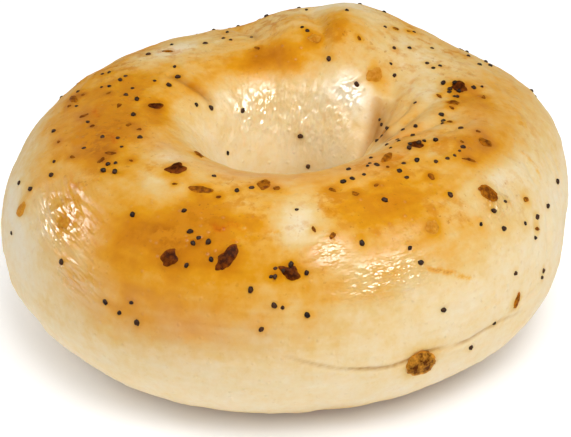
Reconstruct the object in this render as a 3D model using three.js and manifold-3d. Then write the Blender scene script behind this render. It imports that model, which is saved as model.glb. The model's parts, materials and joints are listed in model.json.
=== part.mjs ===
// A hand-rolled ring bagel with poppy seeds and browned onion flakes, resting on its flat base.
//
// Lengths are millimetres, +Z is up, and the origin lies under the middle of the bagel.
// Places on the ring are given by two angles in degrees:
//   bearing  goes round the ring, from +X (0) through +Y (90),
//   across   goes round the section, from the outer side (0) over the crown (90)
//            and down the throat (180) to the underside (270).

import * as THREE from 'three';
import { LoftGeometry } from 'three/addons/geometries/LoftGeometry.js';
import { mergeVertices } from 'three/addons/utils/BufferGeometryUtils.js';
import Module from 'manifold-3d';

const wasm = await Module();
wasm.setup();

// ---- Driving dimensions ----

// Outer radius and crown height of the ring at every 30 degrees of bearing.
const OUTER_RADIUS = [52.5, 60, 56.5, 55.5, 55, 54, 55, 54, 52.5, 50.5, 50, 51.5];
const CROWN_HEIGHT = [41.5, 41, 41, 41.5, 42.5, 42.5, 41.5, 41.5, 41, 41, 42, 42];
const THROAT_RADIUS = 11.5;
const BELT_HEIGHT = 17.5;

// The thickest part of the section sits this share of the way from throat to outer side.
const CREST_SHARE = 0.41;

// How square each quarter of the section is: 2 is an ellipse, more is fuller.
const FULLNESS = { outerTop: 2.33, outerBottom: 2.07, innerTop: 2.08, innerBottom: 2.4 };

// The base is pressed flat where the round section would reach this far below it.
const BASE_FLAT = 1.5;

// The two ends of the rolled dough overlap here and stand up as a knot.
const KNOT = [
  { bearing: 71, width: 22, rise: 7.2 },
  { bearing: 92, width: 6.5, rise: 1.7 },
];

// Creases and gathers in the skin: where they run, how deep and how wide they are.
const CREASES = [
  { name: 'joint', depth: 2.0, width: 1.7, path: [[20, 145], [26, 127], [32, 116], [38, 102]] },
  { name: 'knot valley', depth: 1.2, width: 2.6, path: [[80, 88], [74, 110], [72, 121]] },
  { name: 'gather', depth: 1.1, width: 2.4, path: [[352, 130], [0, 110], [8, 96], [14, 84]] },
  { name: 'low gather', depth: 0.9, width: 2.2, path: [[338, 108], [348, 93], [358, 80]] },
  { name: 'back gather', depth: 1.0, width: 2.4, path: [[14, 128], [20, 108], [26, 92]] },
  { name: 'side crack', depth: 0.5, width: 1.0, path: [[271, 3], [282, 351], [293, 347], [306, 348], [324, 351]] },
];

// Mesh fineness of the dough: sections round the ring, and points round each section.
const RING_STEPS = 80;
const SECTION_STEPS = 38;

// Every topping sits in a socket this much bigger all round.
const SOCKET_GAP = 0.3;

// Browned onion flakes: place on the ring, size, turn on the surface, and how well roasted.
const FLAKES = [
  { at: [229, 86], size: [3.4, 2.6], turn: 20, roast: 'dark' },
  { at: [244, 41], size: [3.2, 2.7], turn: 70, roast: 'dark' },
  { at: [256, 46], size: [5.2, 2.5], turn: 55, roast: 'dark' },
  { at: [270, 39], size: [4.0, 2.7], turn: 160, roast: 'dark' },
  { at: [174, 102], size: [3.2, 2.0], turn: 130, roast: 'dark' },
  { at: [20, 85], size: [4.0, 3.2], turn: 10, roast: 'dark' },
  { at: [326, 91], size: [3.4, 2.4], turn: 170, roast: 'dark' },
  { at: [8, 87], size: [3.2, 2.2], turn: 15, roast: 'brown' },
  { at: [324, 52], size: [4.4, 3.0], turn: 120, roast: 'brown' },
  { at: [261, 88], size: [2.8, 2.4], turn: 80, roast: 'brown' },
  { at: [242, 80], size: [4.6, 1.5], turn: 10, roast: 'brown' },
  { at: [222, 112], size: [4.6, 1.5], turn: 150, roast: 'brown' },
  { at: [168, 62], size: [3.8, 1.6], turn: 30, roast: 'brown' },
  { at: [342, 70], size: [2.8, 2.4], turn: 60, roast: 'brown' },
  { at: [311, 95], size: [3.8, 1.6], turn: 20, roast: 'brown' },
  { at: [80, 107], size: [2.8, 2.3], turn: 160, roast: 'amber' },
  { at: [46, 112], size: [3.6, 2.9], turn: 0, roast: 'amber' },
  { at: [215, 38], size: [2.4, 2.2], turn: 40, roast: 'amber' },
  { at: [200, 28], size: [2.8, 2.4], turn: 80, roast: 'amber' },
  { at: [304, 48], size: [2.6, 2.2], turn: 30, roast: 'amber' },
  { at: [322, 2], size: [2.9, 1.3], turn: 70, roast: 'brown' },
];
const FLAKE_THICKNESS = 0.9;
const FLAKE_STANDS_OUT = 0.35;

// One thick roasted nugget is baked into the front of the side.
const NUGGET = { at: [297, 351], size: [5.2, 5.0], turn: 25, thickness: 1.9, standsOut: 0.9 };

// Poppy seeds: place on the ring.
const SEEDS = [
  [314, 60], [310, 348], [262, 32], [273, 20], [267, 25], [10, 129], [322, 34], [120, 83],
  [308, 83], [302, 12], [156, 102], [288, 86], [199, 38], [334, 77], [322, 44], [286, 50],
  [299, 34], [171, 90], [317, 84], [50, 123], [251, 53], [296, 68], [232, 15], [68, 121],
  [219, 22], [358, 90], [148, 101], [304, 90], [148, 128], [81, 157], [335, 28], [240, 11],
  [201, 50], [184, 90], [231, 57], [246, 56],
];
const SEED_SIZE = [1.25, 1.0, 0.9];
const SEED_STANDS_OUT = 0.12;

// ---- The dough surface ----

const radians = THREE.MathUtils.degToRad;

// Smooth value at a bearing, from numbers spaced evenly round the ring.
function roundRing(stations, bearing) {
  const count = stations.length;
  const place = (bearing / 360) * count;
  const first = Math.floor(place);
  const u = place - first;
  const at = (step) => stations[(first + step + count) % count];
  const slopeStart = (at(1) - at(-1)) / 2;
  const slopeEnd = (at(2) - at(0)) / 2;
  const blend = u * u * (3 - 2 * u);
  const ease = u * (1 - u);
  return at(0) + (at(1) - at(0)) * blend + ease * ((1 - u) * slopeStart - u * slopeEnd);
}

function knotRise(bearing) {
  let rise = 0;
  for (const lump of KNOT) {
    const away = THREE.MathUtils.euclideanModulo(bearing - lump.bearing + 180, 360) - 180;
    rise += lump.rise * Math.exp(-((away / lump.width) ** 2));
  }
  return rise;
}

// A cosine or sine made fuller, so that the section swells past an ellipse.
function fuller(value, fullness) {
  return Math.sign(value) * Math.abs(value) ** (2 / fullness);
}

// Point on the smooth ring, before creases.
function ringPoint(bearing, across) {
  const turn = THREE.MathUtils.euclideanModulo(bearing, 360);
  const outer = roundRing(OUTER_RADIUS, turn);
  const crown = roundRing(CROWN_HEIGHT, turn) + knotRise(turn);
  const crest = THREE.MathUtils.lerp(THROAT_RADIUS, outer, CREST_SHARE);
  const c = Math.cos(radians(across));
  const s = Math.sin(radians(across));
  const side = c >= 0 ? 'outer' : 'inner';
  const half = s >= 0 ? 'Top' : 'Bottom';
  const fullness = FULLNESS[side + half];
  const reachOut = c >= 0 ? outer - crest : crest - THROAT_RADIUS;
  const reachUp = s >= 0 ? crown - BELT_HEIGHT : BELT_HEIGHT + BASE_FLAT;
  const radius = crest + reachOut * fuller(c, fullness);
  const height = Math.max(0, BELT_HEIGHT + reachUp * fuller(s, fullness));
  const angle = radians(turn);
  return new THREE.Vector3(radius * Math.cos(angle), radius * Math.sin(angle), height);
}

// Outward direction of the smooth ring, from short steps each way along it.
function ringNormal(bearing, across) {
  const step = 0.5;
  const along = ringPoint(bearing + step, across).sub(ringPoint(bearing - step, across));
  const over = ringPoint(bearing, across + step).sub(ringPoint(bearing, across - step));
  return over.cross(along).negate().normalize();
}

const creaseLines = CREASES.map((crease) => {
  const points = crease.path.map(([bearing, across]) => ringPoint(bearing, across));
  return { ...crease, line: new THREE.CatmullRomCurve3(points).getPoints(48) };
});

// How far the creases pull the skin in at a point of the smooth ring.
function creaseDepth(point) {
  let depth = 0;
  for (const crease of creaseLines) {
    const nearest = Math.min(...crease.line.map((spot) => spot.distanceTo(point)));
    depth += crease.depth * Math.exp(-((nearest / crease.width) ** 2));
  }
  return depth;
}

function doughPoint(bearing, across) {
  const point = ringPoint(bearing, across);
  if (point.z === 0) return point;
  return point.addScaledVector(ringNormal(bearing, across), -creaseDepth(point));
}

// The points of a section run down the outer side first, so that the faces point out.
function doughRing() {
  const sections = [];
  for (let i = 0; i < RING_STEPS; i++) {
    const section = [];
    for (let j = 0; j < SECTION_STEPS; j++) {
      section.push(doughPoint((360 * i) / RING_STEPS, (-360 * j) / SECTION_STEPS));
    }
    sections.push(section);
  }
  sections.push(sections[0]);
  return new LoftGeometry(sections);
}

// ---- Joining and cutting ----

function toSolid(geometry) {
  const bare = new THREE.BufferGeometry();
  bare.setAttribute('position', geometry.getAttribute('position').clone());
  if (geometry.index) bare.setIndex(geometry.index.clone());
  const merged = mergeVertices(bare, 1e-4);
  return new wasm.Manifold(new wasm.Mesh({
    numProp: 3,
    vertProperties: new Float32Array(merged.getAttribute('position').array),
    triVerts: new Uint32Array(merged.index.array),
  }));
}

function toGeometry(solid) {
  const mesh = solid.getMesh();
  const geometry = new THREE.BufferGeometry();
  geometry.setAttribute('position', new THREE.BufferAttribute(mesh.vertProperties, 3));
  geometry.setIndex(new THREE.BufferAttribute(mesh.triVerts, 1));
  geometry.computeVertexNormals();
  return geometry;
}

// ---- Toppings ----

// Stands a mesh on the dough: local Z along the skin's outward direction, local X round the ring.
function standOnDough(mesh, [bearing, across], turn, lift) {
  const normal = ringNormal(bearing, across);
  const roundRingWay = new THREE.Vector3(-Math.sin(radians(bearing)), Math.cos(radians(bearing)), 0);
  const up = new THREE.Vector3().crossVectors(normal, roundRingWay).normalize();
  const axes = new THREE.Matrix4().makeBasis(roundRingWay, up, normal);
  mesh.quaternion.setFromRotationMatrix(axes);
  mesh.rotateZ(radians(turn));
  mesh.position.copy(doughPoint(bearing, across)).addScaledVector(normal, lift);
  mesh.updateMatrix();
}

// Ragged outline of a chip of onion; seed shifts its raggedness.
function flakeOutline(length, width, seed) {
  const corners = [];
  const count = 9;
  for (let i = 0; i < count; i++) {
    const angle = (2 * Math.PI * i) / count;
    const swell = 1 + 0.13 * Math.sin(3 * angle + seed) + 0.1 * Math.sin(2 * angle + 2.3 * seed);
    corners.push(new THREE.Vector2(
      0.5 * length * swell * Math.cos(angle),
      0.5 * width * swell * Math.sin(angle),
    ));
  }
  return new THREE.Shape(corners);
}

// Thin chip with softened edges; its top is at z = 0 before it is lifted out of the dough.
function flakeGeometry([length, width], thickness, seed) {
  const edge = 0.25;
  const geometry = new THREE.ExtrudeGeometry(flakeOutline(length, width, seed), {
    depth: thickness - 2 * edge,
    bevelEnabled: true,
    bevelThickness: edge,
    bevelSize: edge,
    bevelOffset: -edge,
    bevelSegments: 1,
  });
  return geometry.translate(0, 0, edge - thickness);
}

function flakeSocket([length, width], thickness, seed) {
  const outline = flakeOutline(length + 2.4 * SOCKET_GAP, width + 2.4 * SOCKET_GAP, seed);
  const geometry = new THREE.ExtrudeGeometry(outline, { depth: thickness + 4, bevelEnabled: false });
  return geometry.translate(0, 0, -thickness - SOCKET_GAP);
}

function seedGeometry(extra, sides, rings) {
  const geometry = new THREE.SphereGeometry(1, sides, rings);
  const [length, width, height] = SEED_SIZE.map((size) => size / 2 + extra);
  return geometry.scale(length, width, height);
}

const ROASTS = {
  dark: { color: 0x5a2409, roughness: 0.35 },
  brown: { color: 0x9a5613, roughness: 0.4 },
  amber: { color: 0xc98322, roughness: 0.4 },
};

function skinMaterial(color, roughness) {
  return new THREE.MeshStandardMaterial({ color, roughness, metalness: 0 });
}

function twoDigits(index) {
  return String(index + 1).padStart(2, '0');
}

// ---- The bagel ----

const bagel = new THREE.Group();
const sockets = [];

function addTopping(name, geometry, material, socketGeometry, place) {
  const mesh = new THREE.Mesh(geometry, material);
  mesh.name = name;
  standOnDough(mesh, place.at, place.turn, place.lift);
  sockets.push(toSolid(socketGeometry.applyMatrix4(mesh.matrix)));
  bagel.add(mesh);
}

FLAKES.forEach((flake, index) => {
  const { color, roughness } = ROASTS[flake.roast];
  addTopping(
    `onion_flake_${twoDigits(index)}`,
    flakeGeometry(flake.size, FLAKE_THICKNESS, index),
    skinMaterial(color, roughness),
    flakeSocket(flake.size, FLAKE_THICKNESS, index),
    { at: flake.at, turn: flake.turn, lift: FLAKE_STANDS_OUT },
  );
});

addTopping(
  'roasted_nugget',
  flakeGeometry(NUGGET.size, NUGGET.thickness, 4),
  skinMaterial(0xa8742a, 0.6),
  flakeSocket(NUGGET.size, NUGGET.thickness, 4),
  { at: NUGGET.at, turn: NUGGET.turn, lift: NUGGET.standsOut },
);

SEEDS.forEach((place, index) => {
  addTopping(
    `poppy_seed_${twoDigits(index)}`,
    seedGeometry(0, 8, 5),
    skinMaterial(0x1d1712, 0.55),
    seedGeometry(SOCKET_GAP, 8, 5),
    { at: place, turn: index * 47, lift: SEED_STANDS_OUT },
  );
});

const dough = new THREE.Mesh(
  toGeometry(wasm.Manifold.difference([toSolid(doughRing()), ...sockets])),
  skinMaterial(0xe0ae62, 0.45),
);
dough.name = 'baked_dough';
bagel.add(dough);

// The origin goes under the middle of the bagel's outline.
dough.geometry.computeBoundingBox();
const middle = dough.geometry.boundingBox.getCenter(new THREE.Vector3());
bagel.position.set(-middle.x, -middle.y, 0);

export default bagel;
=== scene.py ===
"""Looks for a ring bagel: crust skin, browning, toppings, camera, lights and floor.

Places on the crust are given by two angles in degrees: bearing goes round the ring from +X, and tilt
goes round the section from the outer side (0) over the crown (90) and down the hole (180).
"""

import json
import math
import random

import bpy
import numpy as np
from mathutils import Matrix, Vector, noise
from mathutils.bvhtree import BVHTree


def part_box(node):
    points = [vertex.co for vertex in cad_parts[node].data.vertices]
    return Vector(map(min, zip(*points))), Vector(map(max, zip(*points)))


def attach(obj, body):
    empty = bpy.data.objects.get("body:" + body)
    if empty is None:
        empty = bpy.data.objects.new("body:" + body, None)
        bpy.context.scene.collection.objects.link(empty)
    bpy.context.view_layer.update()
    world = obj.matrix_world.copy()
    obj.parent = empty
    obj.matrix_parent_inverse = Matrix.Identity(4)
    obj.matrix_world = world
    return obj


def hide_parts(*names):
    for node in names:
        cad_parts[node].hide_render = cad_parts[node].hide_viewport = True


MM = 0.001

# The middle line of the ring of dough, from which the skin is measured.
CORE_RADIUS = 33.0
CORE_HEIGHT = 19.0

# About how far the skin lies from the middle line, and the crown from the middle of the hole.
SECTION_RADIUS = 20.0
CROWN_RADIUS = 40.0

# How far the dough's facets are smoothed away, in degrees of bearing and tilt.
SOFTEN = (2.4, 4.5)

# Fineness of the skin: the parts that show are finer than the underside.
RING_STEPS = 440
FINE_TILTS = (-25, 152)
FINE_STEPS = 172
COARSE_STEPS = 48

# Seeds and chips that have no node of their own keep this far from the rest, in millimetres.
SEED_GAP = 0.35
CRUMB_GAP = 0.5

# How far seeds caught on a flake stand above the crust, in millimetres.
FLAKE_LIFT = 0.3

# The camera's angle above the floor in degrees, its distance in metres and what it looks at.
CAMERA_RISE = 29
CAMERA_DISTANCE = 0.4
CAMERA_TARGET = (-0.75, -3.5, 19.0)

# The floor's half width, and the distances from the middle where its glow starts and is full, in metres.
FLOOR_HALF = 8.0
GLOW_START = 0.042
GLOW_FULL = 0.057

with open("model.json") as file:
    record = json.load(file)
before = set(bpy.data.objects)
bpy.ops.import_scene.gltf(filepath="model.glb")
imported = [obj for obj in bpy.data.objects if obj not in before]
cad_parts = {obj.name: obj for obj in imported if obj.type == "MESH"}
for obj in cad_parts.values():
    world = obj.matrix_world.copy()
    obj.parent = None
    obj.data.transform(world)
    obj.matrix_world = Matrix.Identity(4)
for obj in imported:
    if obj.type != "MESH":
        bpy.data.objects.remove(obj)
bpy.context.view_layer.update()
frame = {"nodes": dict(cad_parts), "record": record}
nodes = frame["nodes"]


# ---------------------------------------------------------------- skin shape

def hole_middle():
    """Middle of the hole in millimetres, from the opening that the record states."""
    box = frame["record"]["physics"]["openings"][0]["box_m"]
    return np.array([(box[0][0] + box[1][0]) / 2, (box[0][1] + box[1][1]) / 2]) / MM


MIDDLE = hole_middle()


def ring_place(bearing, tilt, reach):
    """Point in millimetres at a reach from the core line; the angles are in radians."""
    radius = CORE_RADIUS + reach * np.cos(tilt)
    height = CORE_HEIGHT + reach * np.sin(tilt)
    x = MIDDLE[0] + radius * np.cos(bearing)
    y = MIDDLE[1] + radius * np.sin(bearing)
    return np.stack([x, y, height], axis=-1)


def reach_of_dough(bearings, tilts):
    """How far the CAD dough lies from the core line, found by casting a ray each way."""
    dough = nodes["baked_dough"]
    corners = [v.co for v in dough.data.vertices]
    tree = BVHTree.FromPolygons(corners, [p.vertices for p in dough.data.polygons])
    reach = np.zeros((len(bearings), len(tilts)))
    for i, bearing in enumerate(bearings):
        start = Vector(ring_place(bearing, 0.0, 0.0)) * MM
        for j, tilt in enumerate(tilts):
            way = Vector(ring_place(bearing, tilt, 1.0)) - Vector(ring_place(bearing, tilt, 0.0))
            hit = tree.ray_cast(start, way)
            reach[i, j] = hit[3] / MM
    return reach


def away_from_sockets(points):
    """1 on the plain skin and 0 where a topping's socket is cut into it."""
    weight = np.ones(points.shape[:-1])
    for name in nodes:
        if name == "baked_dough":
            continue
        low, high = (np.array(corner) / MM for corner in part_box(name))
        span = np.max(high - low) / 2 + 0.9
        weight[np.linalg.norm(points - (low + high) / 2, axis=-1) < span] = 0.0
    return weight


def resample(field, bearings, tilts):
    """Evaluates a field given on an even grid of the whole ring at any other angles, softened."""
    rows, columns = field.shape
    k = np.fft.fftfreq(rows, 1 / rows)
    m = np.fft.fftfreq(columns, 1 / columns)
    blur = np.radians(SOFTEN)
    fade = np.exp(-0.5 * ((blur[0] * k[:, None]) ** 2 + (blur[1] * m[None, :]) ** 2))
    spectrum = np.fft.fft2(field) / field.size * fade
    rounds = np.exp(1j * np.outer(bearings, k))
    overs = np.exp(1j * np.outer(m, tilts))
    return np.real(rounds @ spectrum @ overs)


def smooth_skin(bearings, tilts):
    """The CAD dough with its facets and sockets smoothed away, as points in millimetres."""
    even = np.radians(np.arange(0, 360, 2.0))
    reach = reach_of_dough(even, even)
    grid_b, grid_t = np.meshgrid(even, even, indexing="ij")
    weight = away_from_sockets(ring_place(grid_b, grid_t, reach)) + 1e-4
    reach = resample(reach * weight, bearings, tilts) / resample(weight, bearings, tilts)
    grid_b, grid_t = np.meshgrid(bearings, tilts, indexing="ij")
    points = ring_place(grid_b, grid_t, reach)
    points[..., 2] = np.maximum(points[..., 2] - 0.05, 0.0)
    return points


def normals_of(points):
    """Outward directions of a grid that closes on itself both ways."""
    along = np.roll(points, -1, axis=0) - np.roll(points, 1, axis=0)
    over = np.roll(points, -1, axis=1) - np.roll(points, 1, axis=1)
    normal = np.cross(along, over)
    return normal / np.maximum(np.linalg.norm(normal, axis=-1, keepdims=True), 1e-9)


def tilt_stations():
    """Tilts in radians, close together where the skin shows and wider on the underside."""
    fine = np.linspace(*FINE_TILTS, FINE_STEPS, endpoint=False)
    coarse = np.linspace(FINE_TILTS[1], FINE_TILTS[0] + 360, COARSE_STEPS, endpoint=False)
    return np.radians(np.concatenate([fine, coarse]))


class Skin:
    """The crust as a grid of points, with the directions and lengths that the details need."""

    def __init__(self):
        self.bearings = np.linspace(0, 2 * np.pi, RING_STEPS, endpoint=False)
        self.tilts = tilt_stations()
        self.base = smooth_skin(self.bearings, self.tilts)
        self.normal = normals_of(self.base)
        self.bearing, self.tilt = np.meshgrid(
            np.degrees(self.bearings), np.degrees(self.tilts), indexing="ij"
        )
        self.radius = np.hypot(self.base[..., 0] - MIDDLE[0], self.base[..., 1] - MIDDLE[1])

    def nearest(self, bearing, tilt):
        """Indices of the grid point at a bearing and tilt."""
        i = int(round(bearing / 360 * RING_STEPS)) % RING_STEPS
        away = (np.degrees(self.tilts) - tilt + 180) % 360 - 180
        return i, int(np.argmin(np.abs(away)))

    def spot(self, bearing, tilt):
        """The skin's point at a bearing and tilt."""
        return self.base[self.nearest(bearing, tilt)]

    def patch(self, bearing, tilt, half_along, half_over):
        """A soft-edged patch, 1 in its middle, with half sizes in degrees of bearing and tilt."""
        d_bearing = (self.bearing - bearing + 180) % 360 - 180
        d_tilt = (self.tilt - tilt + 180) % 360 - 180
        return np.exp(-((d_bearing / half_along) ** 2) - (d_tilt / half_over) ** 2)

    def line(self, path):
        """Distance in millimetres from a line on the skin, signed by side, and the ends' fade."""
        stops = np.array([self.spot(b, t) for b, t in path])
        count = 14 * (len(stops) - 1) + 1
        places = np.linspace(0, len(stops) - 1, count)
        dots = np.stack([np.interp(places, range(len(stops)), stops[:, k]) for k in range(3)], -1)
        for _ in range(12):
            dots[1:-1] = (dots[:-2] + 2 * dots[1:-1] + dots[2:]) / 4
        near = np.full(self.bearing.shape, 1e9)
        which = np.zeros(self.bearing.shape, int)
        for index, dot in enumerate(dots):
            gap = np.linalg.norm(self.base - dot, axis=-1)
            which = np.where(gap < near, index, which)
            near = np.minimum(gap, near)
        ways = np.gradient(dots, axis=0)
        way = ways[which] / np.linalg.norm(ways[which], axis=-1, keepdims=True)
        side = np.sign((np.cross(way, self.normal) * (self.base - dots[which])).sum(-1))
        end = np.sin(np.pi * np.clip(which / (count - 1), 0, 1)) ** 0.5
        return near * side, end


def skin_noise(points, size, octaves=2, seed=0):
    """Smooth noise of about the given feature size in millimetres, from -1 to 1."""
    shift = Vector((seed * 31.7, seed * 12.9, seed * 7.3))
    flat = points.reshape(-1, 3) / size
    values = [noise.fractal(Vector(p) + shift, 1.0, 2.0, octaves) for p in flat]
    return np.array(values).reshape(points.shape[:-1])


def crease(skin, path, depth, width, lip=0.0, lip_width=1.0):
    """A crease along a path, with a lip that swells on its right."""
    gap, end = skin.line(path)
    relief = -depth * np.exp(-((gap / width) ** 2))
    right = np.clip(gap, 0, None)
    relief += lip * (gap > 0) * np.exp(-(((right - lip_width) / lip_width) ** 2))
    return relief * end


# The long fine crack low on the front: bearing, tilt.
CRACK = [
    (268, 3), (276, -5), (284, -12), (291, -14), (299, -9), (309, -13), (317, -7), (326, -11),
]

# Creases as paths of bearing and tilt, with depths and widths in millimetres.
CREASES = [
    # Where one end of the rolled dough laps over the other, inside the hole.
    {"path": [(16, 160), (24, 144), (31, 126), (37, 112), (46, 98)], "depth": 1.3, "width": 2.3},
    {"path": [(18, 158), (24, 145), (30, 130), (34, 118)], "depth": 0.7, "width": 0.5},
    # Gathers that run out from the hole over the right side.
    {"path": [(354, 134), (360, 122), (368, 110), (378, 100)], "depth": 0.8, "width": 1.5},
    {"path": [(2, 146), (8, 132), (15, 119), (25, 108)], "depth": 0.7, "width": 1.1},
    {"path": [(338, 124), (345, 112), (353, 103), (363, 94)], "depth": 0.7, "width": 1.2},
    {"path": [(330, 112), (338, 102), (347, 94), (357, 86)], "depth": 0.4, "width": 0.9},
    {"path": [(20, 124), (27, 112), (34, 103), (40, 90)], "depth": 0.35, "width": 0.9},
    # The valley beside the knot, the edge of its left lobe, and a fold on the left of the hole.
    {"path": [(85, 78), (80, 92), (75, 106), (73, 118)], "depth": 0.9, "width": 1.5},
    {"path": [(107, 68), (104, 82), (102, 98)], "depth": 0.8, "width": 1.2},
    {"path": [(150, 102), (148, 112), (146, 122), (145, 132)], "depth": 0.5, "width": 0.8},
    # The crack, with a lip standing proud along it, and its branch.
    {"path": CRACK, "depth": 0.28, "width": 0.32, "lip": 0.22, "lip_width": 1.0},
    {"path": [(317, -7), (324, -3), (331, -2)], "depth": 0.3, "width": 0.4, "lip": 0.1},
    # Two short cracks higher up.
    {"path": [(303, 27), (306, 20), (309, 17)], "depth": 0.2, "width": 0.4},
    {"path": [(316, 27), (320, 32), (325, 28)], "depth": 0.2, "width": 0.4},
    # Slack skin at the right-hand edge.
    {"path": [(343, 40), (339, 22), (336, 6)], "depth": 0.4, "width": 0.8},
    {"path": [(336, 42), (332, 28), (329, 14)], "depth": 0.3, "width": 0.6},
    {"path": [(350, 34), (347, 16), (345, 0)], "depth": 0.4, "width": 0.7},
    {"path": [(357, 46), (355, 28), (352, 8)], "depth": 0.5, "width": 0.8},
    {"path": [(3, 40), (0, 22), (357, 2)], "depth": 0.5, "width": 0.9},
    {"path": [(346, 58), (343, 50), (341, 38)], "depth": 0.3, "width": 0.6},
]

# Slack, wet-looking skin. Each zone has soft patches (bearing, tilt, half sizes, strength), a middle,
# and ripples of a given length and width in millimetres, turned from the way round the ring.
WET_ZONES = [
    {"patches": [(214, 42, 11, 17, 1.0), (224, 22, 9, 13, 0.9), (212, 58, 9, 9, 0.6)],
     "middle": (218, 42), "turn": -14, "length": 3.8, "width": 1.0, "height": 0.24},
    {"patches": [(291, 40, 12, 14, 1.0), (279, 57, 6, 11, 0.65), (297, 60, 9, 8, 0.3)],
     "middle": (288, 50), "turn": 2, "length": 1.4, "width": 0.85, "height": 0.14},
    {"patches": [(325, 54, 7, 9, 0.8)],
     "middle": (325, 54), "turn": 20, "length": 1.2, "width": 0.9, "height": 0.08},
    {"patches": [(70, 144, 32, 17, 1.0), (113, 138, 28, 15, 1.0), (52, 128, 12, 10, 0.9)],
     "middle": (80, 138), "turn": 75, "length": 1.7, "width": 1.1, "height": 0.22},
]


def zone(skin, patches):
    """The strongest of several soft-edged patches at each point."""
    total = np.zeros(skin.bearing.shape)
    for bearing, tilt, half_along, half_over, strength in patches:
        total = np.maximum(total, strength * skin.patch(bearing, tilt, half_along, half_over))
    return total


def ripple_places(skin, wet):
    """Skin coordinates from a wet zone's middle, counted in ripple lengths and widths."""
    bearing, tilt = wet["middle"]
    along = np.radians((skin.bearing - bearing + 180) % 360 - 180)
    along = along * skin.radius[skin.nearest(bearing, tilt)]
    over = np.radians((skin.tilt - tilt + 180) % 360 - 180) * SECTION_RADIUS
    c = math.cos(math.radians(wet["turn"]))
    s = math.sin(math.radians(wet["turn"]))
    first = (c * along + s * over) / wet["length"]
    second = (c * over - s * along) / wet["width"]
    return np.stack([first, second, np.full_like(first, bearing)], -1)


def ripples(skin):
    """Wetness, ripple relief in millimetres, and the ripple coordinates for the finer gloss."""
    wetness = np.zeros(skin.bearing.shape)
    relief = np.zeros(skin.bearing.shape)
    places = np.zeros((*skin.bearing.shape, 3))
    for wet in WET_ZONES:
        strength = np.clip(zone(skin, wet["patches"]) * 1.25 - 0.12, 0, 1)
        place = ripple_places(skin, wet)
        relief += wet["height"] * strength * skin_noise(place, 1.0, 1, seed=3)
        places = np.where((strength > wetness)[..., None], place, places)
        wetness = np.maximum(wetness, strength)
    return wetness, relief, places


def grain_round_ring(skin, length, width, octaves, seed):
    """Noise drawn out round the ring, as dough skin is when it is rolled and stretched."""
    x = CROWN_RADIUS * np.cos(np.radians(skin.bearing)) / length
    y = CROWN_RADIUS * np.sin(np.radians(skin.bearing)) / length
    over = np.radians(skin.tilt) * SECTION_RADIUS / width
    return skin_noise(np.stack([x, y, over], -1), 1.0, octaves, seed)


def skin_relief(skin):
    """Everything that lifts or dents the smooth skin, in millimetres."""
    relief = 0.45 * skin_noise(skin.base, 17.0, 2, seed=1)
    relief += 0.18 * skin_noise(skin.base, 5.0, 2, seed=2)
    relief += 0.05 * skin_noise(skin.base, 1.6, 2, seed=4)
    relief += 0.10 * grain_round_ring(skin, 7.0, 1.3, 2, seed=6)
    for line in CREASES:
        relief += crease(skin, **line)
    return relief


def settle(skin, relief):
    """Fades the relief out towards the floor, so that the underside stays flat."""
    free = np.clip(skin.base[..., 2] / 2.5, 0, 1)
    return relief * free * free * (3 - 2 * free)


# ---------------------------------------------------------------- browning

# How well baked the crust is on the whole at each tilt, once round the section.
BAKED_BY_TILT = [
    (-90, 0.45), (-45, 0.06), (-20, 0.12), (0, 0.19), (20, 0.33), (40, 0.43), (60, 0.48), (90, 0.48),
    (115, 0.45), (130, 0.21), (150, 0.14), (180, 0.14), (230, 0.25), (270, 0.45),
]

# Darker and paler patches: bearing, tilt, half sizes in degrees, and how much browner.
PATCHES = [
    # Front left, the brownest of the front.
    (243, 57, 14, 14, 0.45), (251, 73, 9, 8, 0.22), (246, 30, 20, 13, 0.20), (244, 12, 19, 14, 0.16),
    (226, 47, 9, 13, 0.20),
    # Left shoulder.
    (190, 93, 11, 10, 0.30), (200, 78, 10, 8, 0.38), (182, 83, 14, 13, 0.12), (180, 110, 11, 6, 0.25),
    (176, 72, 26, 20, 0.16), (157, 94, 11, 9, 0.20), (131, 87, 9, 9, -0.14),
    # Front right, right shoulder and right crown, and the lap crease inside the hole at (16, 136), browned
    # there partly as painted shade.
    (296, 73, 13, 9, 0.28), (303, 82, 13, 8, 0.18), (335, 82, 11, 7, 0.22), (350, 71, 10, 9, 0.12),
    (12, 84, 11, 9, 0.30), (16, 136, 15, 17, 0.12),
    # Far rim and knot.
    (70, 100, 6, 8, 0.30), (100, 111, 9, 6, 0.32), (90, 121, 10, 6, 0.20), (150, 119, 8, 5, 0.14),
    (116, 113, 17, 8, 0.2), (86, 116, 10, 6, 0.12), (58, 96, 7, 8, 0.10),
    # Pale skin on the right side and at the left edge.
    (330, 28, 34, 24, -0.20), (0, 26, 26, 26, -0.14), (300, 14, 20, 16, -0.10), (204, 16, 13, 17, -0.26),
    (193, 28, 10, 11, -0.24), (182, 42, 14, 12, -0.20), (150, 92, 9, 9, -0.10),
    # Pale spots on the crown and by the hole.
    (272, 74, 6, 16, -0.42), (222, 101, 8, 7, -0.30), (231, 82, 7, 6, -0.16), (330, 63, 13, 8, -0.34),
    (346, 54, 12, 10, -0.18), (42, 88, 24, 30, -0.28), (78, 79, 13, 8, -0.34), (112, 84, 26, 10, -0.14),
    (350, 106, 13, 7, -0.14), (20, 105, 12, 10, -0.14), (52, 124, 14, 10, -0.22), (136, 84, 14, 10, -0.24),
]

# Skin tanned pinkish rather than gold, mostly the crust's own colour: bearing, tilt, half sizes in
# degrees, strength.
# Painted shade: the patch low on the front left at (248, 15) dulls the skin where less light falls, and
# the one at (14, 134) shades the lap crease inside the hole.
TAN_AND_SHADE = [
    (258, 110, 32, 9, 1.0), (300, 108, 24, 9, 1.0), (215, 104, 18, 9, 0.7), (352, 84, 18, 14, 0.5),
    (248, 15, 24, 16, 0.8), (14, 134, 14, 26, 0.35), (340, 118, 18, 14, 0.8), (184, 68, 18, 16, 0.4),
    (20, 70, 12, 16, 0.3),
]
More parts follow.
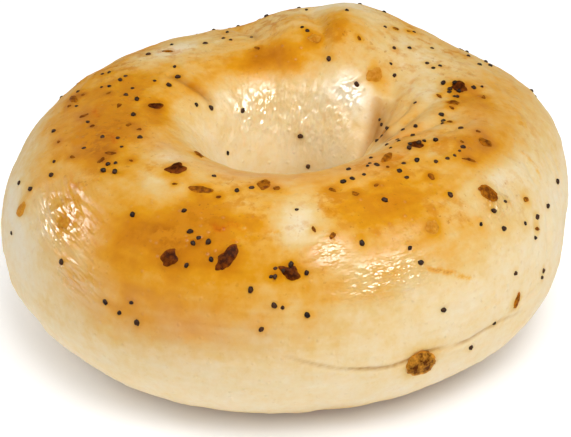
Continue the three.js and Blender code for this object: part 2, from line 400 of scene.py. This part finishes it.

# Painted shade: brown darkening laid into folds, where shade falls, and along the crack, where it is
# partly the crack's own amber-brown as well: path, half width in millimetres, strength.
FOLD_SHADES = [
    ([(14, 160), (19, 150), (25, 138), (30, 130), (34, 124), (38, 120)], 1.6, 1.0),
    ([(22, 138), (28, 128), (33, 119)], 0.5, 0.5),
    ([(350, 126), (357, 131), (8, 134), (16, 130)], 1.7, 0.9),
    ([(345, 132), (352, 123), (362, 112)], 1.0, 0.4),
    ([(150, 104), (148, 113), (146, 122), (145, 130)], 1.1, 0.8),
    ([(104, 84), (102, 96)], 0.7, 0.5),
    (CRACK, 0.32, 1.0),
]

# Thin smears and slivers browned onto the crust: path, half width, strength.
SMEARS = [
    ([(345, 131), (342, 125), (341, 119), (344, 111)], 0.7, 0.9),
    ([(309, 105), (316, 102)], 0.5, 0.8),
    ([(328, 97), (337, 94)], 0.5, 0.8),
    ([(239, 85), (242, 88), (246, 88)], 0.45, 0.6),
    ([(299, 42), (302, 39), (306, 34), (311, 25)], 0.45, 0.8),
    ([(250, 70), (253, 66), (255, 72), (259, 68)], 0.45, 0.75),
    ([(253, 66), (256, 61), (260, 65)], 0.4, 0.6),
    ([(263, 71), (266, 68), (268, 71)], 0.5, 0.7),
    ([(275, 62), (276, 56)], 0.5, 0.6),
    ([(348, 62), (348, 51), (345, 44)], 0.5, 0.5),
    ([(172, 84), (178, 80), (184, 84)], 0.5, 0.6),
    ([(205, 62), (209, 57), (214, 60)], 0.45, 0.5),
    ([(192, 84), (197, 88), (203, 86)], 0.5, 0.6),
]


def drawn(skin, lines):
    """The strongest of several soft-edged lines at each point."""
    total = np.zeros(skin.bearing.shape)
    for path, width, strength in lines:
        gap, end = skin.line(path)
        total = np.maximum(total, strength * end * np.exp(-((gap / width) ** 2)))
    return total


def browning(skin):
    """How well baked the crust is, from 0 (cream) to 1 (deep golden brown)."""
    stops, values = zip(*BAKED_BY_TILT)
    bake = np.interp(((skin.tilt + 90) % 360) - 90, stops, values)
    for bearing, tilt, half_along, half_over, more in PATCHES:
        bake += more * skin.patch(bearing, tilt, half_along, half_over)
    bake += 0.13 * skin_noise(skin.base, 10.0, 3, seed=11) * np.clip(bake * 2, 0.2, 1)
    bake += 0.05 * skin_noise(skin.base, 2.5, 2, seed=12) * np.clip(bake * 2, 0.2, 1)
    bake += 0.08 * grain_round_ring(skin, 8.0, 1.5, 2, seed=19) * np.clip(bake * 2, 0.35, 1)
    under = np.clip(1 - skin.base[..., 2] / 1.2, 0, 1)
    base = 0.5 + 0.25 * skin_noise(skin.base, 8.0, 3, seed=13)
    return np.clip(bake * (1 - under) + base * under, 0, 1)


def tanning_and_shade(skin):
    """How pinkish the crust is tanned, from 0 to 1; two of its patches are painted shade instead, low on
    the front left and in the lap crease.
    """
    tan = zone(skin, TAN_AND_SHADE)
    tan *= 0.8 + 0.5 * skin_noise(skin.base, 4.0, 2, seed=15)
    return np.clip(tan, 0, 1)


def filming(skin, bake):
    """Where oil and onion juice have baked on as an uneven amber film, mostly round the crown."""
    crown = np.exp(-(((((skin.tilt + 90) % 360) - 90 - 82) / 38) ** 2))
    patchy = 0.55 + 0.9 * skin_noise(skin.base, 9.0, 2, seed=17)
    return np.clip(crown * patchy * (0.35 + bake), 0, 1)


# ---------------------------------------------------------------- materials

def new_material(name, roughness):
    material = bpy.data.materials.new(name)
    material.use_nodes = True
    shader = material.node_tree.nodes["Principled BSDF"]
    shader.inputs["Roughness"].default_value = roughness
    return material, material.node_tree, shader


def add(tree, kind, **settings):
    """A new shader node with the given settings."""
    node = tree.nodes.new(kind)
    for key, value in settings.items():
        setattr(node, key, value)
    return node


def attribute(tree, name):
    return add(tree, "ShaderNodeAttribute", attribute_name=name).outputs["Fac"]


def noise_texture(tree, scale, detail=4.0, roughness=0.55):
    place = add(tree, "ShaderNodeTexCoord")
    texture = add(tree, "ShaderNodeTexNoise")
    tree.links.new(place.outputs["Object"], texture.inputs["Vector"])
    texture.inputs["Scale"].default_value = scale
    texture.inputs["Detail"].default_value = detail
    texture.inputs["Roughness"].default_value = roughness
    return texture.outputs["Fac"]


def math_node(tree, operation, first, second):
    node = add(tree, "ShaderNodeMath", operation=operation)
    for socket, value in zip(node.inputs, (first, second)):
        if isinstance(value, (int, float)):
            socket.default_value = value
        else:
            tree.links.new(value, socket)
    return node.outputs[0]


def ramp(tree, factor, stops):
    node = add(tree, "ShaderNodeValToRGB")
    elements = node.color_ramp.elements
    while len(elements) < len(stops):
        elements.new(0.5)
    for element, (place, colour) in zip(elements, stops):
        element.position = place
        element.color = (*colour, 1)
    tree.links.new(factor, node.inputs["Fac"])
    return node.outputs["Color"]


def mix(tree, factor, first, second, blend="MIX"):
    node = add(tree, "ShaderNodeMix", data_type="RGBA", blend_type=blend)
    for name, value in (("Factor", factor), ("A", first), ("B", second)):
        socket = [s for s in node.inputs if s.name == name and s.enabled][0]
        if isinstance(value, float):
            socket.default_value = value
        elif isinstance(value, tuple):
            socket.default_value = (*value, 1)
        else:
            tree.links.new(value, socket)
    return [s for s in node.outputs if s.enabled][0]


def bump(tree, shader, height, strength, distance):
    node = add(tree, "ShaderNodeBump")
    node.inputs["Strength"].default_value = strength
    node.inputs["Distance"].default_value = distance
    tree.links.new(height, node.inputs["Height"])
    tree.links.new(node.outputs["Normal"], shader.inputs["Normal"])


def step_up(tree, value, low, high):
    """0 below one value, 1 above another."""
    node = add(tree, "ShaderNodeMapRange")
    node.inputs["From Min"].default_value = low
    node.inputs["From Max"].default_value = high
    tree.links.new(value, node.inputs["Value"])
    return node.outputs["Result"]


def rippled_height(tree):
    """Height of the wet ripples, in their own coordinates so that they lie along the skin."""
    place = add(tree, "ShaderNodeAttribute", attribute_name="ripple").outputs["Vector"]
    texture = add(tree, "ShaderNodeTexNoise")
    tree.links.new(place, texture.inputs["Vector"])
    texture.inputs["Scale"].default_value = 1.05
    texture.inputs["Detail"].default_value = 1.0
    height = math_node(tree, "MULTIPLY", texture.outputs["Fac"], 1.6)
    return math_node(tree, "MULTIPLY", height, attribute(tree, "slack"))


def blister_height(tree, scale):
    """Small domes scattered over the skin, about one cell in four."""
    place = add(tree, "ShaderNodeTexCoord")
    cells = add(tree, "ShaderNodeTexVoronoi")
    cells.inputs["Scale"].default_value = scale
    tree.links.new(place.outputs["Object"], cells.inputs["Vector"])
    dome = step_up(tree, cells.outputs["Distance"], 0.34, 0.0)
    parts = add(tree, "ShaderNodeSeparateColor")
    tree.links.new(cells.outputs["Color"], parts.inputs["Color"])
    chosen = step_up(tree, parts.outputs["Red"], 0.7, 0.76)
    return math_node(tree, "MULTIPLY", dome, chosen)


def crust_colour(tree, mottle):
    """Cream to deep gold by the bake attribute, with pinkish tanned skin, painted shade in folds and an
    amber film over it.
    """
    freckle = math_node(tree, "MULTIPLY", mottle, 0.22)
    cloud = math_node(tree, "SUBTRACT", noise_texture(tree, 190, 4), 0.5)
    freckle = math_node(tree, "ADD", freckle, math_node(tree, "MULTIPLY", cloud, 0.28))
    bake = math_node(tree, "ADD", attribute(tree, "bake"), freckle)
    colour = ramp(tree, bake, [
        (0.0, (0.83, 0.71, 0.50)),
        (0.15, (0.82, 0.64, 0.36)),
        (0.3, (0.78, 0.53, 0.20)),
        (0.48, (0.77, 0.40, 0.065)),
        (0.62, (0.72, 0.31, 0.007)),
        (0.78, (0.62, 0.225, 0.002)),
        (1.0, (0.48, 0.15, 0.001)),
    ])
    # Pinkish tanned skin, the crust's own colour, and in two patches painted shade.
    tan = math_node(tree, "MULTIPLY", attribute(tree, "tan"), 0.65)
    colour = mix(tree, tan, colour, (0.66, 0.335, 0.135))
    # Painted shade in folds and along the crack: the colour is multiplied towards dark brown.
    shade = math_node(tree, "MULTIPLY", attribute(tree, "shade"), 0.85)
    colour = mix(tree, shade, colour, (0.52, 0.30, 0.06), "MULTIPLY")
    smear = math_node(tree, "MULTIPLY", attribute(tree, "smear"), step_up(tree, mottle, -0.16, 0.06))
    stain = ramp(tree, smear, [(0, (1, 1, 1)), (0.4, (1, 0.76, 0.32)), (1, (0.55, 0.24, 0.03))])
    colour = mix(tree, 1.0, colour, stain, "MULTIPLY")
    film = attribute(tree, "film")
    patchy = noise_texture(tree, 420, 6, 0.62)
    blotch = math_node(tree, "ADD", patchy, math_node(tree, "MULTIPLY", film, 0.16))
    blotch = math_node(tree, "MULTIPLY", step_up(tree, blotch, 0.57, 0.69), film)
    colour = mix(tree, math_node(tree, "MULTIPLY", blotch, 1.1), colour, (0.64, 0.24, 0.006))
    speck = step_up(tree, noise_texture(tree, 950, 3, 0.5), 0.65, 0.71)
    speck = math_node(tree, "MULTIPLY", speck, math_node(tree, "ADD", film, 0.12))
    return mix(tree, math_node(tree, "MULTIPLY", speck, 0.8), colour, (0.46, 0.15, 0.008))


def crust_material():
    """Baked crust: dull where it is dry, and glossy on slack wet-looking skin and on small blisters."""
    material, tree, shader = new_material("crust", 0.5)
    mottle = math_node(tree, "SUBTRACT", noise_texture(tree, 700, 5), 0.5)
    tree.links.new(crust_colour(tree, mottle), shader.inputs["Base Color"])
    domes = blister_height(tree, 800)
    beads = math_node(tree, "MULTIPLY", math_node(tree, "MULTIPLY", domes, 0.6), attribute(tree, "bake"))
    gloss = math_node(tree, "MAXIMUM", attribute(tree, "slack"), beads)
    dry = math_node(tree, "ADD", math_node(tree, "MULTIPLY", mottle, 0.25), 0.58)
    rough = math_node(tree, "ADD", dry, math_node(tree, "MULTIPLY", gloss, -0.46))
    tree.links.new(rough, shader.inputs["Roughness"])
    shine = ramp(tree, gloss, [(0.0, (0.02, 0.02, 0.02)), (0.8, (1.0, 1.0, 1.0))])
    tree.links.new(shine, shader.inputs["Specular Tint"])
    shader.inputs["Specular IOR Level"].default_value = 0.7
    shader.inputs["Subsurface Weight"].default_value = 0.2
    shader.inputs["Subsurface Radius"].default_value = (1.0, 0.45, 0.2)
    shader.inputs["Subsurface Scale"].default_value = 0.003
    grain = math_node(tree, "MULTIPLY", noise_texture(tree, 900, 6, 0.6), 0.22)
    height = math_node(tree, "ADD", grain, math_node(tree, "MULTIPLY", domes, 0.3))
    height = math_node(tree, "ADD", height, rippled_height(tree))
    bump(tree, shader, height, 1.0, 0.0004)
    return material


def onion_material(name, dark, light, roughness, scale=1100):
    """Roasted onion: blotched between two colours, darker inside and lighter along its thin edge."""
    material, tree, shader = new_material(name, roughness)
    blotch = noise_texture(tree, scale, 5, 0.65)
    thin = math_node(tree, "MULTIPLY", attribute(tree, "thin"), 0.16)
    colour = ramp(tree, math_node(tree, "ADD", blotch, thin), [(0.42, dark), (0.74, light)])
    tree.links.new(colour, shader.inputs["Base Color"])
    shader.inputs["Specular IOR Level"].default_value = 0.03
    shader.inputs["Subsurface Weight"].default_value = 0.1
    shader.inputs["Subsurface Scale"].default_value = 0.0008
    bump(tree, shader, noise_texture(tree, 2600, 4), 0.5, 0.0001)
    return material


def poppy_material():
    """Poppy seed: blue-black to dark brown, finely pitted."""
    material, tree, shader = new_material("poppy", 0.5)
    tone = math_node(tree, "ADD", noise_texture(tree, 160, 1), noise_texture(tree, 1500, 3))
    colour = ramp(tree, math_node(tree, "MULTIPLY", tone, 0.5), [
        (0.38, (0.012, 0.006, 0.003)),
        (0.64, (0.085, 0.032, 0.008)),
    ])
    tree.links.new(colour, shader.inputs["Base Color"])
    place = add(tree, "ShaderNodeTexCoord")
    cells = add(tree, "ShaderNodeTexVoronoi")
    cells.inputs["Scale"].default_value = 6500
    tree.links.new(place.outputs["Object"], cells.inputs["Vector"])
    shader.inputs["Specular IOR Level"].default_value = 0.12
    bump(tree, shader, cells.outputs["Distance"], 0.5, 0.00006)
    return material


# ---------------------------------------------------------------- pieces

def mesh_object(name, points, faces, material, marks=None):
    mesh = bpy.data.meshes.new(name)
    mesh.from_pydata([tuple(p) for p in points], [], faces)
    mesh.polygons.foreach_set("use_smooth", [True] * len(mesh.polygons))
    mesh.materials.append(material)
    for mark, values in (marks or {}).items():
        layer = mesh.attributes.new(mark, "FLOAT", "POINT")
        layer.data.foreach_set("value", values.reshape(-1).astype(np.float32))
    mesh.update()
    piece = bpy.data.objects.new(name, mesh)
    bpy.context.scene.collection.objects.link(piece)
    return piece


def build_crust(points, marks, places):
    """The crust as one closed mesh, with its marks and ripple coordinates on the vertices."""
    rows, columns = points.shape[:2]
    index = np.arange(rows * columns).reshape(rows, columns)
    right = np.roll(index, -1, axis=0)
    up = np.roll(index, -1, axis=1)
    corner = np.roll(right, -1, axis=1)
    faces = np.stack([index, right, corner, up], -1).reshape(-1, 4).tolist()
    piece = mesh_object("crust", points.reshape(-1, 3) * MM, faces, crust_material(), marks)
    layer = piece.data.attributes.new("ripple", "FLOAT_VECTOR", "POINT")
    layer.data.foreach_set("vector", places.reshape(-1).astype(np.float32))
    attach(piece, "root")
    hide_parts("baked_dough")
    return piece


def axes_on_skin(skin, surface, name):
    """Middle, outward direction and long direction of a topping's CAD node, in millimetres."""
    corners = np.array([v.co for v in nodes[name].data.vertices]) / MM
    middle = corners.mean(0)
    flat = np.linalg.norm(surface - middle, axis=-1)
    nearest = np.unravel_index(np.argmin(flat), flat.shape)
    out = skin.normal[nearest]
    long = np.linalg.svd(corners - middle)[2][0]
    long = long - out * (long @ out)
    long /= np.linalg.norm(long)
    sizes = (corners - middle) @ np.stack([long, np.cross(out, long), out], 1)
    return surface[nearest], out, long, np.ptp(sizes, axis=0)


def blob(rings, sides):
    """A unit ball as directions and faces, with one point at each end."""
    points = [(0, 0, -1)]
    for i in range(1, rings):
        a = math.pi * i / rings - math.pi / 2
        for j in range(sides):
            b = 2 * math.pi * j / sides
            points.append((math.cos(a) * math.cos(b), math.cos(a) * math.sin(b), math.sin(a)))
    points.append((0, 0, 1))
    faces = []
    for j in range(sides):
        faces.append((0, 1 + (j + 1) % sides, 1 + j))
        last = 1 + (rings - 2) * sides
        faces.append((len(points) - 1, last + j, last + (j + 1) % sides))
    for i in range(rings - 2):
        for j in range(sides):
            a = 1 + i * sides + j
            b = 1 + i * sides + (j + 1) % sides
            faces.append((a, b, b + sides, a + sides))
    return np.array(points), faces


def seed_points(directions, size, rng):
    """A kidney-shaped poppy seed, slightly dented, in millimetres."""
    p = directions * np.array(size) / 2
    p[:, 1] += 0.3 * p[:, 0] ** 2 / size[0] - 0.05 * size[1]
    shift = Vector((rng.uniform(0, 50), rng.uniform(0, 50), rng.uniform(0, 50)))
    dents = np.array([noise.noise(Vector(d) * 1.6 + shift) for d in directions])
    return p * (1 + 0.22 * dents[:, None])


def flake_points(directions, size, rng):
    """A thin curled chip of onion with a ragged outline, in millimetres."""
    p = directions.copy()
    shift = Vector((rng.uniform(0, 50), rng.uniform(0, 50), rng.uniform(0, 50)))
    flat = np.hypot(p[:, 0], p[:, 1])
    turn = np.arctan2(p[:, 1], p[:, 0])
    rag = np.array([noise.noise(Vector((math.cos(t), math.sin(t), 0)) + shift) for t in turn])
    nicks = np.array([noise.noise(Vector((math.cos(t), math.sin(t), 9)) * 3 + shift) for t in turn])
    reach = 1 + (0.55 * rag + 0.10 * nicks) * flat
    x = p[:, 0] * reach * size[0] / 2
    y = p[:, 1] * reach * size[1] / 2
    crumple = np.array([noise.fractal(Vector((a, b, 0)) * 0.9 + shift, 1, 2, 3) for a, b in zip(x, y)])
    z = p[:, 2] * size[2] / 2 + 0.12 * crumple - 0.05 * (x ** 2 + y ** 2) / size[0]
    return np.stack([x, y, z], -1)


def stand(points, middle, out, long, lift, turn=0.0):
    """Turns points made flat into place on the skin."""
    side = np.cross(out, long)
    c, s = math.cos(turn), math.sin(turn)
    axes = np.stack([c * long + s * side, -s * long + c * side, out])
    return middle + points @ axes + out * lift


def build_toppings(skin, surface):
    """A looks piece for each topping node; also returns where they lie and their materials."""
    rng = random.Random(4)
    poppy = poppy_material()
    roasts = {
        "dark_onion": onion_material("dark_onion", (0.045, 0.008, 0.0005), (0.24, 0.052, 0.001), 0.55),
        "brown_onion": onion_material("brown_onion", (0.15, 0.036, 0.001), (0.52, 0.17, 0.004), 0.55),
        "amber_onion": onion_material("amber_onion", (0.54, 0.20, 0.008), (0.72, 0.34, 0.04), 0.5),
        "nugget": onion_material("nugget", (0.10, 0.025, 0.001), (0.70, 0.30, 0.03), 0.5, 900),
    }
    slots = {s["node"]: s["material_slot"] for s in frame["record"]["subparts"]}
    ball = blob(12, 20)
    chip = blob(14, 36)
    thin = {"thin": np.hypot(chip[0][:, 0], chip[0][:, 1]) ** 5}
    spots = []
    for name in sorted(nodes):
        slot = slots[name]
        if slot == "crust":
            continue
        middle, out, long, size = axes_on_skin(skin, surface, name)
        if slot == "poppy":
            points = seed_points(ball[0], (1.18, 0.92, 0.84), rng)
            placed = stand(points, middle, out, long, rng.uniform(0.0, 0.14), rng.uniform(0, 6.3))
            piece = mesh_object("look_" + name, placed * MM, ball[1], poppy)
        elif slot == "nugget":
            points = nugget_points(chip[0], size, rng)
            placed = stand(points, middle, out, long, 0.1)
            piece = mesh_object("look_" + name, placed * MM, chip[1], roasts[slot], thin)
        else:
            points = flake_points(chip[0], (size[0], size[1], 0.5), rng)
            placed = stand(points, middle, out, long, 0.06)
            piece = mesh_object("look_" + name, placed * MM, chip[1], roasts[slot], thin)
        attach(piece, "root")
        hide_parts(name)
        spots.append((middle, min(size[:2]) / 2 + 0.3, slot))
    return spots, poppy, roasts


def nugget_points(directions, size, rng):
    """A thick lumpy bit of roasted onion, grainy all over, in millimetres."""
    shift = Vector((rng.uniform(0, 50), rng.uniform(0, 50), rng.uniform(0, 50)))
    lumps = np.array([noise.fractal(Vector(d) * 2.2 + shift, 0.8, 2, 4) for d in directions])
    p = directions * (np.array([size[0], size[1], 2.0]) / 2)
    return p * (1 + 0.17 * lumps[:, None])


# Smaller seeds that have no node of their own: bearing, tilt.
LOOSE_SEEDS = [
    (73, 169), (80, 152), (125, 137), (153, 152), (16, 112), (50, 121), (41, 106), (45, 103),
    (67, 116), (49, 94), (34, 88), (18, 80), (19, 75), (83, 104), (85, 102), (119, 90), (104, 90),
    (148, 129), (157, 124), (148, 107), (155, 110), (156, 102), (142, 102), (185, 101), (203, 99),
    (171, 98), (164, 94), (200, 89), (205, 88), (196, 83), (185, 78), (198, 73), (212, 80),
    (213, 73), (164, 66), (183, 60), (197, 57), (201, 51), (198, 40), (192, 36), (219, 24),
    (198, 15), (232, 18), (236, 14), (238, 21), (264, 18), (231, 63), (242, 73), (242, 101),
    (253, 93), (257, 97), (247, 61), (249, 60), (248, 57), (251, 57), (253, 51), (248, 46),
    (262, 39), (268, 31), (273, 26), (267, 50), (269, 47), (266, 46), (271, 45), (272, 82),
    (288, 99), (291, 99), (296, 100), (300, 105), (296, 79), (287, 60), (286, 57), (297, 53),
    (299, 44), (302, 16), (308, 89), (306, 94), (312, 97), (314, 70), (321, 89), (325, 87),
    (328, 86), (331, 86), (322, 53), (327, 53), (317, 51), (322, 43), (330, 38), (335, 35),
    (342, 33), (332, 26), (354, 102), (358, 101), (356, 28), (347, 92), (333, 5), (332, 2),
    (316, -7), (310, -19), (322, 17), (323, 103), (326, 101), (14, 92), (17, 93), (20, 88), (22, 90),
    (27, 131), (14, 130), (6, 129), (8, 135), (349, 114), (337, 112), (328, 114), (320, 113),
    (306, 111), (302, 106), (293, 107), (45, 103), (30, 129), (11, 130), (8, 133), (349, 120),
    (338, 120), (332, 123), (357, 103), (351, 102), (47, 87), (8, 138),
]

# Seeds caught on or against flakes: bearing, tilt.
CAUGHT_SEEDS = [
    (19, 92), (22, 87), (17, 88), (13, 91), (24, 92), (268, 49), (270, 52), (267, 46), (273, 48),
    (324, 106), (327, 104), (330, 103), (321, 104), (332, 99), (211, 77), (213, 73), (216, 76),
]

# Crumbs of onion that have no node of their own: bearing, tilt.
LOOSE_CRUMBS = [
    (192, 96), (196, 101), (208, 76), (211, 78), (206, 82), (243, 88), (245, 90), (256, 95),
    (290, 88), (314, 84), (330, 80), (343, 79), (352, 98), (4, 97), (24, 86), (60, 104), (104, 106),
    (166, 70), (172, 66), (190, 62), (276, 70), (280, 66), (334, 30),
    (181, 76), (188, 80), (176, 92), (168, 84), (200, 66), (214, 86), (234, 86), (249, 86), (265, 98),
    (283, 94), (297, 90), (306, 100), (318, 96), (336, 88), (346, 84), (12, 78), (16, 100), (335, 46),
]


def back_places(count, rng):
    """Random places round the unseen back, thinning out down the side."""
    places = []
    while len(places) < count:
        bearing = rng.uniform(20, 175)
        tilt = rng.gauss(62, 26)
        if -15 < tilt < 95:
            places.append((bearing, tilt))
    return places


def build_loose(skin, surface, spots, places, shape, name, slot, material, gap):
    """Scatters one kind of small topping as a single piece, clear of the larger ones."""
    rng = random.Random(len(places))
    directions, faces = blob(8, 12)
    all_points = []
    all_faces = []
    taken = [(middle, reach) for middle, reach, _ in spots]
    for bearing, tilt in places:
        i, j = skin.nearest(bearing, tilt)
        middle = surface[i, j]
        if any(np.linalg.norm(middle - other) < reach + gap for other, reach in taken):
            continue
        taken.append((middle, 0.5))
        out = skin.normal[i, j]
        long = np.cross(out, (0.3, 0.2, 1.0))
        long /= np.linalg.norm(long)
        points = shape(directions, rng.uniform(0.72, 1.1), rng)
        placed = stand(points, middle, out, long, rng.uniform(-0.05, 0.1), rng.uniform(0, 6.3))
        start = len(directions) * (len(taken) - 1 - len(spots))
        all_points.extend(placed * MM)
        all_faces.extend([tuple(k + start for k in face) for face in faces])
    piece = mesh_object(name, all_points, all_faces, material)
    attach(piece, "root")
    return [(middle, reach, slot) for middle, reach in taken[len(spots):]]


def loose_seed(directions, grow, rng):
    """One small poppy seed."""
    return seed_points(directions, (1.08 * grow, 0.86 * grow, 0.78 * grow), rng)


def loose_crumb(directions, grow, rng):
    """One small chip of onion."""
    size = (rng.uniform(1.1, 2.8) * grow, rng.uniform(0.8, 1.4) * grow, 0.4)
    return flake_points(directions, size, rng)


def stain_and_press(skin, marks, spots):
    """Darkens the crust close round each topping and lets the skin rise a little against it."""
    lift = np.zeros(skin.bearing.shape)
    for middle, reach, slot in spots:
        away = np.linalg.norm(skin.base - middle, axis=-1)
        stain = 0.12 if slot == "poppy" else 0.36
        marks["bake"] += stain * np.exp(-((away / (reach + 0.6)) ** 2))
        lift += 0.1 * np.exp(-(((away - reach - 0.2) / 0.5) ** 2))
    marks["bake"] = np.clip(marks["bake"], 0, 1)
    return lift


# ---------------------------------------------------------------- camera, light, floor

def build_camera():
    camera = bpy.data.cameras.new("camera")
    camera.lens = 132
    camera.sensor_width = 36
    camera.clip_start = 0.01
    holder = bpy.data.objects.new("camera", camera)
    rise = math.radians(CAMERA_RISE)
    target = Vector(CAMERA_TARGET) * MM
    holder.location = target + CAMERA_DISTANCE * Vector((0, -math.cos(rise), math.sin(rise)))
    holder.rotation_euler = (math.pi / 2 - rise, 0, 0)
    bpy.context.scene.collection.objects.link(holder)
    bpy.context.scene.camera = holder


def build_softbox(name, toward, distance, size, power, mirrored):
    """A rectangular light that is either mirrored in the gloss or lights the colours, not both."""
    light = bpy.data.lights.new(name, "AREA")
    light.shape = "RECTANGLE"
    light.size, light.size_y = size
    light.energy = power
    holder = bpy.data.objects.new(name, light)
    way = Vector(toward).normalized()
    holder.location = way * distance + Vector((0, 0, 0.02))
    holder.rotation_euler = way.to_track_quat("Z", "Y").to_euler()
    holder.visible_glossy = mirrored
    holder.visible_diffuse = not mirrored
    bpy.context.scene.collection.objects.link(holder)


def build_spot(name, toward, distance, target, angle, power):
    """A narrow soft-edged light that brightens the colours round one place, given in millimetres."""
    light = bpy.data.lights.new(name, "SPOT")
    light.energy = power
    light.spot_size = math.radians(angle)
    light.spot_blend = 1.0
    light.shadow_soft_size = 0.02
    holder = bpy.data.objects.new(name, light)
    way = Vector(toward).normalized()
    holder.location = Vector(target) * MM + way * distance
    holder.rotation_euler = way.to_track_quat("Z", "Y").to_euler()
    holder.visible_glossy = False
    bpy.context.scene.collection.objects.link(holder)


def build_studio():
    """Soft lights for the colours, strips that only the gloss mirrors, and an even pale world."""
    build_spot("hole_light", (0.05, -0.61, 0.79), 0.5, (-3, 15, 8), 5.2, 3.8)
    build_softbox("overhead_light", (0.2, -0.36, 0.92), 0.6, (0.36, 0.26), 1.4, mirrored=False)
    build_softbox("left_light", (-0.82, 0.19, 0.52), 0.6, (0.2, 0.2), 0.38, mirrored=False)
    build_softbox("front_light", (0.5, -0.6, 1.0), 0.9, (0.8, 0.5), 2.35, mirrored=False)
    build_softbox("overhead_strip", (0.14, -0.42, 0.88), 0.6, (0.75, 0.13), 9.0, mirrored=True)
    build_softbox("left_strip", (-0.88, 0.20, 0.43), 0.6, (0.1, 0.17), 1.5, mirrored=True)
    world = bpy.data.worlds.new("studio")
    world.use_nodes = True
    background = world.node_tree.nodes["Background"]
    background.inputs["Color"].default_value = (1, 1, 1, 1)
    background.inputs["Strength"].default_value = 0.4
    world.cycles_visibility.glossy = False
    scene = bpy.context.scene
    scene.world = world
    scene.view_settings.view_transform = "Standard"


def build_floor():
    """A pale floor that glows as painted light, faintly close round the bagel and more away from it, so
    that it comes out white away from the bagel and stays darker close round it as a painted contact
    shadow.
    """
    half = FLOOR_HALF
    corners = [(-half, -half, 0), (half, -half, 0), (half, half, 0), (-half, half, 0)]
    material, tree, shader = new_material("pale_glowing_floor", 0.6)
    grain = noise_texture(tree, 30, 3)
    tree.links.new(ramp(tree, grain, [(0, (0.74, 0.74, 0.75)), (1, (0.76, 0.76, 0.77))]),
                   shader.inputs["Base Color"])
    shader.inputs["Specular IOR Level"].default_value = 0.1
    place = add(tree, "ShaderNodeTexCoord")
    away = add(tree, "ShaderNodeVectorMath", operation="LENGTH")
    tree.links.new(place.outputs["Object"], away.inputs[0])
    # Painted light and shadow: the glow is faint close round the bagel, as a painted contact shadow, and
    # full away from it.
    clear = step_up(tree, away.outputs["Value"], GLOW_START, GLOW_FULL)
    glow = ramp(tree, clear, [(0, (0.11, 0.11, 0.12)), (1, (0.46, 0.46, 0.46))])
    tree.links.new(glow, shader.inputs["Emission Color"])
    shader.inputs["Emission Strength"].default_value = 1.0
    floor = mesh_object("floor", corners, [(0, 1, 2, 3)], material)


# ---------------------------------------------------------------- put together

def build():
    build_camera()
    build_studio()
    build_floor()
    skin = Skin()
    wetness, rippled, places = ripples(skin)
    surface = skin.base + skin.normal * settle(skin, skin_relief(skin) + rippled)[..., None]
    bake = browning(skin)
    marks = {
        "bake": bake,
        "tan": tanning_and_shade(skin),
        "shade": drawn(skin, FOLD_SHADES),
        "film": filming(skin, bake),
        "slack": wetness,
        "smear": drawn(skin, SMEARS),
    }
    spots, poppy, roasts = build_toppings(skin, surface)
    seeds = LOOSE_SEEDS + back_places(46, random.Random(9))
    spots += build_loose(skin, surface, spots, seeds, loose_seed, "loose_poppy_seeds", "poppy",
                         poppy, SEED_GAP)
    spots += build_loose(skin, surface + FLAKE_LIFT * skin.normal, [], CAUGHT_SEEDS, loose_seed,
                         "caught_poppy_seeds", "poppy", poppy, SEED_GAP)
    crumbs = LOOSE_CRUMBS + back_places(9, random.Random(21))
    spots += build_loose(skin, surface, spots, crumbs, loose_crumb, "loose_onion_crumbs", "brown_onion",
                         roasts["brown_onion"], CRUMB_GAP)
    surface += skin.normal * stain_and_press(skin, marks, spots)[..., None]
    surface[..., 2] = np.maximum(surface[..., 2], 0.0)
    build_crust(surface, marks, places)


build()
